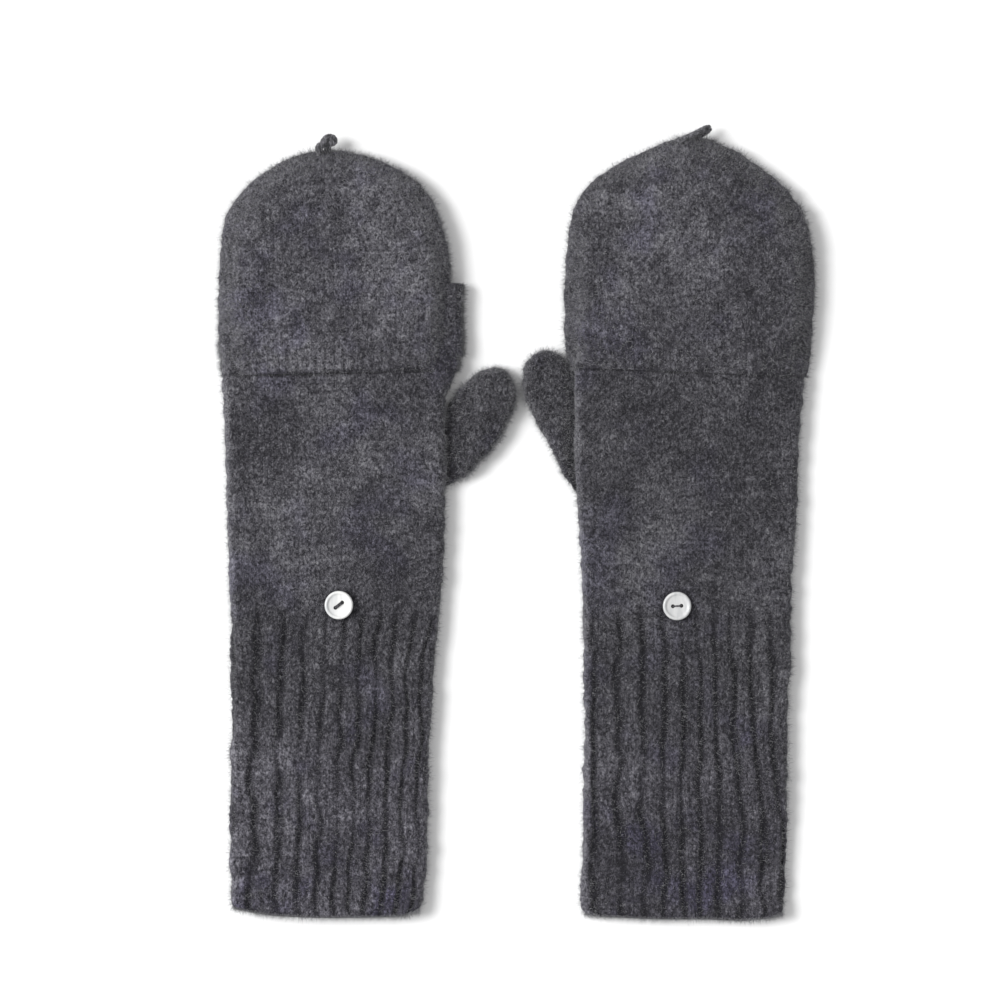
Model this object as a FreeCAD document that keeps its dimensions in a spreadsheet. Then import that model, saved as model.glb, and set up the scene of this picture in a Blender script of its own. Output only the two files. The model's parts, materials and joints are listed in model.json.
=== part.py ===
import FreeCAD, Part

import os
import Sketcher

# A pair of convertible flip-top mittens, laid flat with the backs of the hands up.
# Each mitten is a knitted hand with a long ribbed cuff, four short open finger stalls and a closed
# thumb. A cap is linked to the back of the hand along the knuckles. It lies over the finger stalls,
# and it flips back over the hand, where the loop at its tip reaches a two-hole button.
#
# Frame: +Z up, +Y towards the fingertips, origin at the middle of the pair on the surface it lies on.
# Each mitten is drawn about the middle of its own knuckle line, with the thumb side counted positive,
# and then put in place. Lengths are in millimetres and angles in degrees.

SIZES = {
    # knitted fabric
    "wall": 1.6,  # one layer of the hand
    "hand_height": 8.0,  # hand, cuff and stalls as they lie
    "hand_round": 3.8,  # rounding along the folded sides
    "cap_wall": 1.4,
    "cap_height": 7.4,
    "cap_round": 3.4,
    "cap_lift": 8.5,  # underside of the cap, clear of the finger stalls
    "cap_corner": 12.0,  # rounding of the cap's outline
    "hem_inset": 2.0,  # the hem pulls in on each side
    "hem_length": 11.0,
    # finger stalls
    "crotch": 12.0,  # where the hand divides into stalls, past the knuckle line
    "stall_gap": 0.4,
    "index_reach": 39.0,
    "middle_reach": 43.0,
    "ring_reach": 40.5,
    "little_reach": 33.5,
    # thumb, from its knuckle
    "thumb_half": 12.0,
    "thumb_height": 7.8,
    "thumb_round": 3.7,
    "thumb_corner": 9.0,
    "thumb_gap": 0.3,  # between the thumb and the hand around it
    "gusset_root": 9.6,  # behind the thumb's knuckle
    "gusset_reach": 18.0,  # where the thumb bends
    "thumb_strip": 62.0,  # length of the slot that the thumb lies in
    # button, 20 ligne
    "button_radius": 6.35,
    "button_thick": 2.1,
    "button_edge": 0.5,
    "button_rim": 1.5,
    "button_dish": 0.6,
    "button_lift": 0.5,  # thread shank under the button
    "hole_radius": 0.85,
    "hole_offset": 1.9,
    "thread_radius": 0.35,
    "thread_clear": 0.3,
    # button loop
    "cord_radius": 1.05,
    "loop_bend": 3.3,
    "loop_leg": 2.0,
    "loop_clear": 0.35,  # between the loop and the tip of the cap
    "tack_radius": 0.6,
    "tack_clear": 0.2,
    # linking stitches
    "stitch_length": 2.8,
    "stitch_radius": 0.3,
    "stitch_pitch": 3.4,
    "stitch_back": 2.0,  # behind the knuckle line
    "stitch_clear": 0.1,
    # cuff
    "cuff_top": 12.0,  # length of ribbing above the line where the wrist bends
    "bend_clear": 0.3,
    # left mitten
    "left_x": -80.05,
    "left_y": 65.66,
    "left_top_outer": 51.5,
    "left_top_thumb": 56.5,
    "left_wrist_outer": 45.9,
    "left_wrist_thumb": 47.6,
    "left_end_outer": 46.5,
    "left_end_thumb": 40.3,
    "left_rib_top": 102.4,
    "left_cuff_end": 243.2,
    "left_cap_half": 53.0,
    "left_cap_side": 58.0,
    "left_shoulder_half": 40.0,
    "left_shoulder_reach": 83.0,
    "left_crown_half": 17.0,
    "left_cap_reach": 98.5,
    "left_thumb_x": 48.2,
    "left_thumb_y": -40.5,
    "left_thumb_lean": 32.1,
    "left_thumb_length": 49.0,
    "left_loop_x": -4.4,
    "left_loop_lean": 0.0,
    "left_loop_roll": 0.0,
    "left_button_x": 1.3,
    "left_button_y": -103.7,
    "left_button_turn": 35.0,
    # right mitten
    "right_x": 77.45,
    "right_y": 66.16,
    "right_top_outer": 52.0,
    "right_top_thumb": 51.5,
    "right_wrist_outer": 45.4,
    "right_wrist_thumb": 47.6,
    "right_end_outer": 42.3,
    "right_end_thumb": 48.0,
    "right_rib_top": 102.6,
    "right_cuff_end": 244.1,
    "right_cap_half": 55.6,
    "right_cap_side": 64.0,
    "right_shoulder_half": 41.5,
    "right_shoulder_reach": 86.0,
    "right_crown_half": 9.0,
    "right_cap_reach": 103.0,
    "right_thumb_x": 43.2,
    "right_thumb_y": -42.3,
    "right_thumb_lean": 30.0,
    "right_thumb_length": 50.0,
    "right_loop_x": -3.0,
    "right_loop_lean": 52.0,
    "right_loop_roll": 75.0,
    "right_button_x": 5.8,
    "right_button_y": -104.6,
    "right_button_turn": 0.0,
}
FINGERS = ("little", "ring", "middle", "index")  # from the outer side to the thumb side
THUMB_SIDE = {"left": 1, "right": -1}  # direction of the thumb along X

doc = FreeCAD.newDocument("mittens")
sheet = doc.addObject("Spreadsheet::Sheet", "sizes")
for row, (alias, value) in enumerate(SIZES.items(), start=1):
    sheet.set(f"A{row}", alias)
    sheet.set(f"B{row}", str(value))
    sheet.setAlias(f"B{row}", alias)
doc.recompute()
subparts = []


def keep(piece, label):
    """Name a finished sub-part and put it on the list to export."""
    piece.Label = label
    subparts.append(piece)
    return piece


def place(piece, side, across="0", along="0", up="0"):
    """Put a piece in its mitten: across towards the thumb, along towards the fingertips."""
    piece.setExpression("Placement.Base.x", f"sizes.{side}_x + {THUMB_SIDE[side]} * ({across})")
    piece.setExpression("Placement.Base.y", f"sizes.{side}_y + ({along})")
    piece.setExpression("Placement.Base.z", up)


def new_body(name):
    """A body, and its own XY plane for sketches."""
    body = doc.addObject("PartDesign::Body", name)
    doc.recompute()
    plane = [item for item in body.Origin.OriginFeatures if item.Role == "XY_Plane"][0]
    return body, plane


def outline(body, plane, name, corners):
    """A closed sketch of straight sides, each corner bound to the sheet."""
    sketch = body.newObject("Sketcher::SketchObject", name)
    sketch.AttachmentSupport = [(plane, "")]
    sketch.MapMode = "FlatFace"
    count = len(corners)
    ring = [FreeCAD.Vector(50, 0, 0)]
    spin = FreeCAD.Rotation(FreeCAD.Vector(0, 0, 1), 360.0 / count)
    for _ in range(count):
        ring.append(spin.multVec(ring[-1]))
    for i in range(count):
        sketch.addGeometry(Part.LineSegment(ring[i], ring[i + 1]), False)
    for i in range(count):
        sketch.addConstraint(Sketcher.Constraint("Coincident", i, 2, (i + 1) % count, 1))
    for i, (x, y) in enumerate(corners):
        for kind, start, expression in (("DistanceX", ring[i].x, x), ("DistanceY", ring[i].y, y)):
            number = sketch.addConstraint(Sketcher.Constraint(kind, -1, 1, i, 1, start))
            sketch.setExpression(f"Constraints[{number}]", expression)
    doc.recompute()
    return sketch


def pad(body, sketch, name, height):
    """Raise a sketch to the given height."""
    feature = body.newObject("PartDesign::Pad", name)
    feature.Profile = sketch
    feature.setExpression("Length", height)
    doc.recompute()
    return feature


def upright_edges(shape):
    """Numbers of the edges that run straight up, with their places in the outline."""
    found = []
    for number, edge in enumerate(shape.Edges, start=1):
        if len(edge.Vertexes) != 2:
            continue
        low, high = edge.Vertexes[0].Point, edge.Vertexes[1].Point
        if abs(low.x - high.x) + abs(low.y - high.y) < 1e-6:
            found.append((number, low))
    return found


def face_on(shape, first, second):
    """Number of the upright face whose middle is halfway between two corners."""
    middle = (first + second) * 0.5
    flat = [(face.CenterOfMass.x - middle.x, face.CenterOfMass.y - middle.y) for face in shape.Faces]
    return min(range(len(flat)), key=lambda i: flat[i][0] ** 2 + flat[i][1] ** 2) + 1


def round_edges(body, base, name, edges, radius):
    """A fillet on the numbered edges."""
    feature = body.newObject("PartDesign::Fillet", name)
    feature.Base = (base, [f"Edge{number}" for number in edges])
    feature.setExpression("Radius", radius)
    doc.recompute()
    return feature


def knit_tube(name, corners, open_sides, height, rounding, wall, round_corners=(), corner_radius="0"):
    """A flattened tube of fabric: a rounded slab made hollow, with its open sides taken away."""
    body, plane = new_body(name)
    sketch = outline(body, plane, name + "_outline", corners)
    points = [line.StartPoint for line in sketch.Geometry]
    solid = pad(body, sketch, name + "_slab", height)
    if round_corners:
        chosen = [points[i] for i in round_corners]
        edges = [number for number, foot in upright_edges(solid.Shape)
                 if min((foot.x - p.x) ** 2 + (foot.y - p.y) ** 2 for p in chosen) < 1e-6]
        solid = round_edges(body, solid, name + "_corners", edges, corner_radius)
    mouths = [(points[i], points[(i + 1) % len(points)]) for i in open_sides]
    edges = []
    for number, edge in enumerate(solid.Shape.Edges, start=1):
        box = edge.BoundBox
        if box.ZLength > 1e-6:
            continue
        middle = edge.valueAt((edge.FirstParameter + edge.LastParameter) / 2)
        flat = FreeCAD.Vector(middle.x, middle.y, 0)
        if all(flat.distanceToLineSegment(a, b).Length > 1e-6 for a, b in mouths):
            edges.append(number)
    solid = round_edges(body, solid, name + "_sides", edges, rounding)
    shell = body.newObject("PartDesign::Thickness", name + "_shell")
    faces = [f"Face{face_on(solid.Shape, a, b)}" for a, b in mouths]
    shell.Base = (solid, faces)
    shell.setExpression("Value", wall)
    shell.Reversed = True
    shell.Join = "Intersection"
    doc.recompute()
    return body


def strip(side, low_outer, low_thumb, low, high_outer, high_thumb, high):
    """Corners of a four-sided outline between two cross lines, thumb side positive."""
    sign = THUMB_SIDE[side]
    return [(f"-{sign} * ({low_outer})", low), (f"{sign} * ({low_thumb})", low),
            (f"{sign} * ({high_thumb})", high), (f"-{sign} * ({high_outer})", high)]


def make_hand(side):
    """The hand's tube, with the slot that the thumb comes out of."""
    size = f"sizes.{side}_"
    corners = strip(side, size + "wrist_outer", size + "wrist_thumb", f"-{size}rib_top",
                    size + "top_outer", size + "top_thumb", "sizes.crotch")
    tube = knit_tube(f"{side}_palm", corners, (0, 2), "sizes.hand_height", "sizes.hand_round", "sizes.wall")
    knuckle = doc.addObject("Part::Cylinder", f"{side}_knuckle_space")
    knuckle.setExpression("Radius", "sizes.thumb_half + sizes.thumb_gap")
    knuckle.setExpression("Height", "sizes.hand_height")
    knuckle.setExpression("Placement.Base.x", f"{THUMB_SIDE[side]} * {size}thumb_x")
    knuckle.setExpression("Placement.Base.y", f"{size}thumb_y")
    slot = doc.addObject("Part::Box", f"{side}_thumb_slot")
    reach = "(sizes.thumb_half + sizes.thumb_gap)"
    turn = f"{size}thumb_lean * 1 deg"
    slot.setExpression("Length", f"2 * {reach}")
    slot.setExpression("Width", "sizes.thumb_strip")
    slot.setExpression("Height", "sizes.hand_height")
    slot.Placement.Rotation = FreeCAD.Rotation(FreeCAD.Vector(0, 0, -THUMB_SIDE[side]), 1)
    slot.setExpression("Placement.Rotation.Angle", turn)
    slot.setExpression("Placement.Base.x", f"{THUMB_SIDE[side]} * {size}thumb_x - {reach} * cos({turn})")
    slot.setExpression("Placement.Base.y", f"{size}thumb_y + {THUMB_SIDE[side]} * {reach} * sin({turn})")
    space = doc.addObject("Part::Fuse", f"{side}_thumb_space")
    space.Base = knuckle
    space.Tool = slot
    hand = doc.addObject("Part::Cut", f"{side}_hand")
    hand.Base = tube
    hand.Tool = space
    place(hand, side)
    return keep(hand, f"{side}_hand_tube")


def make_cuff(side):
    """The ribbed cuff, in two lengths that part at the line where the wrist bends."""
    size = f"sizes.{side}_"
    wrist = (size + "wrist_outer", size + "wrist_thumb")
    bend = f"-({size}rib_top + sizes.cuff_top)"
    fabric = ("sizes.hand_height", "sizes.hand_round", "sizes.wall")
    top = knit_tube(f"{side}_ribs", strip(side, *wrist, bend, *wrist, f"-{size}rib_top"), (0, 2), *fabric)
    place(top, side)
    keep(top, f"{side}_cuff_top")
    end = (size + "end_outer", size + "end_thumb")
    corners = strip(side, *end, f"-{size}cuff_end", *wrist, f"{bend} - sizes.bend_clear")
    cuff = knit_tube(f"{side}_long_ribs", corners, (0, 2), *fabric)
    place(cuff, side)
    return keep(cuff, f"{side}_cuff")


def make_stalls(side):
    """Four open finger stalls side by side, from the little finger to the index finger."""
    size = f"sizes.{side}_"
    room = f"({size}top_outer + {size}top_thumb - 3 * sizes.stall_gap) / 4"
    for number, finger in enumerate(FINGERS):
        start = f"(-{size}top_outer + {number} * ({room} + sizes.stall_gap))"
        corners = strip(side, f"-{start}", f"{start} + {room}", "sizes.crotch",
                        f"-{start}", f"{start} + {room}", f"sizes.{finger}_reach")
        stall = knit_tube(f"{side}_{finger}", corners, (0, 2),
                          "sizes.hand_height", "sizes.hand_round", "sizes.wall")
        place(stall, side)
        keep(stall, f"{side}_{finger}_stall")


def lean_thumb(piece, side):
    """Lean a piece drawn straight up from the thumb's knuckle, and put it in its mitten."""
    size = f"sizes.{side}_"
    piece.Placement.Rotation = FreeCAD.Rotation(FreeCAD.Vector(0, 0, -THUMB_SIDE[side]), 1)
    piece.setExpression("Placement.Rotation.Angle", f"{size}thumb_lean * 1 deg")
    place(piece, side, f"{size}thumb_x", f"{size}thumb_y")


def make_thumb(side):
    """The thumb's gusset in the hand, and the closed thumb stall that bends on it."""
    half, tip = "sizes.thumb_half", f"sizes.{side}_thumb_length"
    fabric = ("sizes.thumb_height", "sizes.thumb_round", "sizes.wall")
    root, bend = "-sizes.gusset_root", "sizes.gusset_reach"
    corners = [(f"-0.5 * {half}", root), (f"0.5 * {half}", root), (half, f"-0.2 * {half}"),
               (half, bend), (f"-{half}", bend), (f"-{half}", f"-0.2 * {half}")]
    gusset = knit_tube(f"{side}_gusset", corners, (0, 1, 3, 5), *fabric)
    lean_thumb(gusset, side)
    keep(gusset, f"{side}_thumb_gusset")
    start = f"{bend} + sizes.bend_clear"
    corners = [(f"-{half}", start), (half, start), (half, tip), (f"-{half}", tip)]
    stall = knit_tube(f"{side}_thumb", corners, (0,), *fabric, (2, 3), "sizes.thumb_corner")
    lean_thumb(stall, side)
    return keep(stall, f"{side}_thumb_stall")


def make_cap(side):
    """The closed cap and the hem band around its mouth."""
    size = f"sizes.{side}_"
    fabric = ("sizes.cap_height", "sizes.cap_round", "sizes.cap_wall")
    half = f"{size}cap_half"
    band = f"({half} - sizes.hem_inset)"
    hem_strip = strip(side, band, band, "0", half, half, "sizes.hem_length")
    hem = knit_tube(f"{side}_hem", hem_strip, (0, 2), *fabric)
    place(hem, side, up="sizes.cap_lift")
    keep(hem, f"{side}_cap_hem")
    corners = [(f"-{half}", "sizes.hem_length"), (half, "sizes.hem_length"),
               (half, f"{size}cap_side"), (f"{size}shoulder_half", f"{size}shoulder_reach"),
               (f"{size}crown_half", f"{size}cap_reach"), (f"-{size}crown_half", f"{size}cap_reach"),
               (f"-{size}shoulder_half", f"{size}shoulder_reach"), (f"-{half}", f"{size}cap_side")]
    cap = knit_tube(f"{side}_pocket", corners, (0,), *fabric, (2, 3, 4, 5, 6, 7), "sizes.cap_corner")
    place(cap, side, up="sizes.cap_lift")
    return keep(cap, f"{side}_cap_pocket")


def make_loop(side):
    """The button loop at the tip of the cap, and the tack that holds it."""
    size = f"sizes.{side}_"
    bend = doc.addObject("Part::Torus", f"{side}_loop_bend")
    bend.setExpression("Radius1", "sizes.loop_bend")
    bend.setExpression("Radius2", "sizes.cord_radius")
    bend.Angle3 = 180
    bend.setExpression("Placement.Base.y", "sizes.loop_leg")
    legs = []
    for name, sign in (("a", 1), ("b", -1)):
        leg = doc.addObject("Part::Cylinder", f"{side}_loop_leg_{name}")
        leg.setExpression("Radius", "sizes.cord_radius")
        leg.setExpression("Height", "sizes.loop_leg")
        leg.Placement.Rotation = FreeCAD.Rotation(FreeCAD.Vector(1, 0, 0), -90)
        leg.setExpression("Placement.Base.x", f"{sign} * sizes.loop_bend")
        legs.append(leg)
    loop = doc.addObject("Part::MultiFuse", f"{side}_loop")
    loop.Shapes = [bend] + legs
    lean = FreeCAD.Rotation(FreeCAD.Vector(0, 0, THUMB_SIDE[side]), SIZES[f"{side}_loop_lean"])
    roll = FreeCAD.Rotation(FreeCAD.Vector(0, 1, 0), SIZES[f"{side}_loop_roll"])
    loop.Placement.Rotation = lean.multiply(roll)
    middle = "sizes.cap_lift + sizes.cap_height / 2"
    clear = "sizes.tack_clear + 2 * sizes.tack_radius + sizes.loop_clear"
    out = f"{size}cap_reach + {clear} + sizes.loop_bend * sin({size}loop_lean * 1 deg)"
    place(loop, side, f"{size}loop_x", out, middle)
    keep(loop, f"{side}_button_loop")
    tack = doc.addObject("Part::Cylinder", f"{side}_tack")
    tack.setExpression("Radius", "sizes.tack_radius")
    tack.setExpression("Height", "2 * (sizes.loop_bend + sizes.cord_radius)")
    tack.Placement.Rotation = FreeCAD.Rotation(FreeCAD.Vector(0, 1, 0), 90)
    width = f"{THUMB_SIDE[side]} * (sizes.loop_bend + sizes.cord_radius)"
    tip = f"{size}cap_reach + sizes.tack_clear + sizes.tack_radius"
    place(tack, side, f"{size}loop_x - {width}", tip, middle)
    return keep(tack, f"{side}_loop_tack")


def make_button(side):
    """A dished two-hole button turned about its own axis, and the thread that sews it on."""
    size = f"sizes.{side}_"
    body, _ = new_body(f"{side}_disc")
    upright = [item for item in body.Origin.OriginFeatures if item.Role == "XZ_Plane"][0]
    edge, top = "sizes.button_edge", "sizes.button_thick"
    radius, floor = "sizes.button_radius", "sizes.button_thick - sizes.button_dish"
    profile = [("0", "0"), (f"{radius} - {edge}", "0"), (radius, edge), (radius, f"{top} - {edge}"),
               (f"{radius} - {edge}", top), (f"{radius} - sizes.button_rim", top),
               (f"{radius} - sizes.button_rim - sizes.button_dish", floor), ("0", floor)]
    sketch = outline(body, upright, f"{side}_disc_profile", profile)
    disc = body.newObject("PartDesign::Revolution", f"{side}_disc_turned")
    disc.Profile = sketch
    disc.ReferenceAxis = (sketch, ["V_Axis"])
    disc.Angle = 360
    doc.recompute()
    tools = []
    for name, sign in (("a", 1), ("b", -1)):
        hole = doc.addObject("Part::Cylinder", f"{side}_hole_{name}")
        hole.setExpression("Radius", "sizes.hole_radius")
        hole.setExpression("Height", top)
        hole.setExpression("Placement.Base.x", f"{sign} * sizes.hole_offset")
        tools.append(hole)
    holes = doc.addObject("Part::MultiFuse", f"{side}_holes")
    holes.Shapes = tools
    button = doc.addObject("Part::Cut", f"{side}_button_cut")
    button.Base = body
    button.Tool = holes
    turn = FreeCAD.Rotation(FreeCAD.Vector(0, 0, 1), SIZES[f"{side}_button_turn"])
    button.Placement.Rotation = turn
    place(button, side, f"{size}button_x", f"{size}button_y", "sizes.hand_height + sizes.button_lift")
    keep(button, f"{side}_button")
    posts = []
    low, high = "sizes.thread_clear", f"sizes.button_lift + {floor} + sizes.thread_radius"
    for name, sign in (("a", 1), ("b", -1)):
        post = doc.addObject("Part::Cylinder", f"{side}_thread_post_{name}")
        post.setExpression("Radius", "sizes.thread_radius")
        post.setExpression("Height", f"{high} - {low}")
        post.setExpression("Placement.Base.x", f"{sign} * sizes.hole_offset")
        post.setExpression("Placement.Base.z", low)
        posts.append(post)
    bar = doc.addObject("Part::Cylinder", f"{side}_thread_bar")
    bar.setExpression("Radius", "sizes.thread_radius")
    bar.setExpression("Height", "2 * sizes.hole_offset")
    bar.Placement.Rotation = FreeCAD.Rotation(FreeCAD.Vector(0, 1, 0), 90)
    bar.setExpression("Placement.Base.x", "-sizes.hole_offset")
    bar.setExpression("Placement.Base.z", f"{high}")
    thread = doc.addObject("Part::MultiFuse", f"{side}_thread")
    thread.Shapes = posts + [bar]
    thread.Placement.Rotation = turn
    place(thread, side, f"{size}button_x", f"{size}button_y", "sizes.hand_height")
    return keep(thread, f"{side}_button_thread")


def make_seam(side):
    """The row of linking stitches that joins the cap to the back of the hand."""
    size = f"sizes.{side}_"
    half_row = SIZES[f"{side}_cap_half"] - SIZES["hand_round"]
    count = int(2 * half_row / SIZES["stitch_pitch"])
    stitches = []
    for number in range(count):
        stitch = doc.addObject("Part::Cylinder", f"{side}_stitch_{number}")
        stitch.setExpression("Radius", "sizes.stitch_radius")
        stitch.setExpression("Height", "sizes.stitch_length")
        stitch.Placement.Rotation = FreeCAD.Rotation(FreeCAD.Vector(0, 1, 0), 90)
        offset = number - (count - 1) / 2
        stitch.setExpression("Placement.Base.x", f"({offset}) * sizes.stitch_pitch - sizes.stitch_length / 2")
        stitches.append(stitch)
    seam = doc.addObject("Part::Compound", f"{side}_seam")
    seam.Links = stitches
    height = "sizes.hand_height + sizes.stitch_radius + sizes.stitch_clear"
    place(seam, side, "0", "-sizes.stitch_back", height)
    return keep(seam, f"{side}_cap_seam")


for side in THUMB_SIDE:
    make_hand(side)
    make_cuff(side)
    make_stalls(side)
    make_thumb(side)
    make_cap(side)
    make_loop(side)
    make_button(side)
    make_seam(side)
doc.recompute()

for item in doc.Objects:
    if "Invalid" in item.State or "Error" in item.State:
        raise RuntimeError(f"{item.Name} did not build: {item.State}")
os.makedirs("parts", exist_ok=True)
for piece in subparts:
    if piece.Shape.isNull() or not piece.Shape.isValid() or not piece.Shape.Solids:
        raise RuntimeError(f"{piece.Label} has no valid solid")
    piece.Shape.exportStep(f"parts/{piece.Label}.step")
    print(f"{piece.Label}: {len(piece.Shape.Solids)} solids, {piece.Shape.Volume / 1000:.2f} cm3")
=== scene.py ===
import json
import math

import bmesh
import bpy
import numpy as np
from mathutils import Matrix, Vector


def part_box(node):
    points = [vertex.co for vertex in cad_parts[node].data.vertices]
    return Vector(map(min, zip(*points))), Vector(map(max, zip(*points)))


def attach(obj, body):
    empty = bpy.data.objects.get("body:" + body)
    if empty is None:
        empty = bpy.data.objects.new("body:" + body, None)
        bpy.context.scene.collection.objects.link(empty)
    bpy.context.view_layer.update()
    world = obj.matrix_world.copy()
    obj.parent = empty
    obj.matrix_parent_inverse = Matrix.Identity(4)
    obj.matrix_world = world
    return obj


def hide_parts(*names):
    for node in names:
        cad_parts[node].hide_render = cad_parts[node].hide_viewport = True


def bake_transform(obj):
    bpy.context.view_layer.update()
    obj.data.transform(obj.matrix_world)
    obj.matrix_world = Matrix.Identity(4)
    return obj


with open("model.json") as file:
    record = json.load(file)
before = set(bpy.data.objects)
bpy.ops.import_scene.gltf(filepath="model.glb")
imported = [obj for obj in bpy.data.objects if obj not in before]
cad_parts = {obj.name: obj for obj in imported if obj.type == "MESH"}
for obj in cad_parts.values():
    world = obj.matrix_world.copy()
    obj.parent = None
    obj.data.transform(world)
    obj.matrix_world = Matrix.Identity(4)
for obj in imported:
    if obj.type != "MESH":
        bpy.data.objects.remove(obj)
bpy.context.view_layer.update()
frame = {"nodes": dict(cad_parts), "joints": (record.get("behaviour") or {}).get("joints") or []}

# A pair of convertible flip-top mittens in felted charcoal wool, lying flat with the backs up.
# Each mitten is one knitted tube from cuff to knuckles, four open finger stalls, a thumb, a cap
# with its hem band, a cord loop with its tack, a two-hole button with its thread, and a row of
# linking stitches. Loose wool fibres stand on every knitted piece.

MM = 0.001
SIDES = ("left", "right")
THUMB_SIDE = {"left": 1, "right": -1}  # direction of the thumb along X
FINGERS = ("little", "ring", "middle", "index")
JOINTS = {joint["name"]: joint for joint in frame["joints"]}

GRID = 0.7 * MM  # spacing of the knitted surfaces
FABRIC = 1.5 * MM  # one layer of knitting
WALE = 2.1 * MM  # width of a column of stitches
COURSE = 1.55 * MM  # height of a row of stitches
FLOOR_GAP = 0.15 * MM  # between the floor and the smooth underside
LOWEST = 0.03 * MM  # the felted underside stays this far above the floor
STEP = 0.4 * MM  # spacing of points on an outline
CROWDING = 0.45  # how far the columns of a pocket crowd towards its folded edges
THINNEST = 0.12 * MM  # half height of a pocket where its two skins nearly meet
MOUTH_DEPTH = 8 * MM  # how far the inner skin is drawn into a mouth
LIP_DARK, INSIDE_DARK = 0.15, 0.35  # how much shade is painted on the lip and on the inside of a mouth


# ---------------------------------------------------------------- lines and fields

def smooth(value):
    """0 below 0, 1 above 1, and a smooth step between."""
    value = np.clip(value, 0, 1)
    return value * value * (3 - 2 * value)


def rounding(share):
    """Height of a quarter circle, 0 at the fold and 1 from a share of 1 inwards."""
    return np.sqrt(1 - (1 - np.clip(share, 0, 1)) ** 2)


def bump(value, width):
    """1 where value is 0, and fading out over width."""
    return np.exp(-(value / width) ** 2)


def field(seed, size, count=26):
    """A smooth random field in plan, with bumps about size across, mean 0 and spread 1."""
    rng = np.random.default_rng(seed)
    angle = rng.uniform(0, 2 * math.pi, count)
    wave = 2 * math.pi / size * rng.uniform(0.35, 0.75, count)
    phase = rng.uniform(0, 2 * math.pi, count)

    def value(x, y):
        total = np.zeros(np.broadcast(x, y).shape)
        for a, w, p in zip(angle, wave, phase):
            total += np.sin(w * (math.cos(a) * x + math.sin(a) * y) + p)
        return total * math.sqrt(2 / count)

    return value


def even(points, spacing=STEP, count=None):
    """The same line with its points evenly spaced."""
    points = np.asarray(points, float)
    steps = np.r_[0, np.cumsum(np.linalg.norm(np.diff(points, axis=0), axis=1))]
    count = count or max(8, int(steps[-1] / spacing) + 1)
    at = np.linspace(0, steps[-1], count)
    return np.column_stack([np.interp(at, steps, points[:, k]) for k in range(points.shape[1])])


def soften(points, width):
    """Round off the corners of an evenly spaced line, its ends kept in place."""
    reach = int(3 * width / STEP)
    weights = np.exp(-0.5 * (np.arange(-reach, reach + 1) * STEP / width) ** 2)
    weights /= weights.sum()
    weights /= weights.sum()  # once more, to take up what rounding left over
    before = 2 * points[0] - points[reach:0:-1]
    after = 2 * points[-1] - points[-2:-reach - 2:-1]
    padded = np.vstack([before, points, after])
    return np.column_stack([np.convolve(padded[:, k], weights, "valid") for k in range(2)])


def plan_distance(x, y, line):
    """Distance in plan from each point to a line."""
    flat = np.column_stack([x.ravel(), y.ravel()])
    found = np.empty(len(flat))
    last, batch = len(line) - 1, 4000
    for start in range(0, len(flat), batch):
        some = flat[start:start + batch]
        gaps = (some[:, None, 0] - line[None, :, 0]) ** 2 + (some[:, None, 1] - line[None, :, 1]) ** 2
        near = gaps.argmin(axis=1)
        best = np.sqrt(gaps[np.arange(len(some)), near])
        for a, b in ((np.maximum(near - 1, 0), near), (near, np.minimum(near + 1, last))):
            run = line[b] - line[a]
            length = np.maximum((run ** 2).sum(axis=1), 1e-18)
            share = np.clip(((some - line[a]) * run).sum(axis=1) / length, 0, 1)
            best = np.minimum(best, np.linalg.norm(some - line[a] - run * share[:, None], axis=1))
        found[start:start + batch] = best
    return found.reshape(x.shape)


def node_edges(names):
    """Both ends of every edge of some CAD nodes."""
    starts, ends = [], []
    for name in names:
        mesh = frame["nodes"][name].data
        places = np.empty(len(mesh.vertices) * 3)
        mesh.vertices.foreach_get("co", places)
        places = places.reshape(-1, 3)
        pairs = np.empty(len(mesh.edges) * 2, int)
        mesh.edges.foreach_get("vertices", pairs)
        pairs = pairs.reshape(-1, 2)
        starts.append(places[pairs[:, 0]])
        ends.append(places[pairs[:, 1]])
    return np.vstack(starts), np.vstack(ends)


def node_sides(names, along):
    """Lowest and highest X of some CAD nodes at each Y."""
    starts, ends = node_edges(names)
    sides = []
    for y in along:
        cut = (starts[:, 1] - y) * (ends[:, 1] - y) <= 0
        a, b = starts[cut], ends[cut]
        run = b[:, 1] - a[:, 1]
        share = np.where(np.abs(run) > 1e-9, (y - a[:, 1]) / np.where(np.abs(run) > 1e-9, run, 1), 0)
        x = a[:, 0] + share * (b[:, 0] - a[:, 0])
        sides.append((x.min(), x.max()))
    return np.array(sides)


# ---------------------------------------------------------------- meshes

def add(name, data):
    """A new object in the scene, for a mesh, a lamp or a camera."""
    piece = bpy.data.objects.new(name, data)
    bpy.context.scene.collection.objects.link(piece)
    return piece


def finish_mesh(mesh):
    """Turn every face outwards and shade it smooth."""
    faces = bmesh.new()
    faces.from_mesh(mesh)
    bmesh.ops.recalc_face_normals(faces, faces=faces.faces)
    faces.to_mesh(mesh)
    faces.free()
    mesh.polygons.foreach_set("use_smooth", [True] * len(mesh.polygons))


# ---------------------------------------------------------------- knitted pockets

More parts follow.
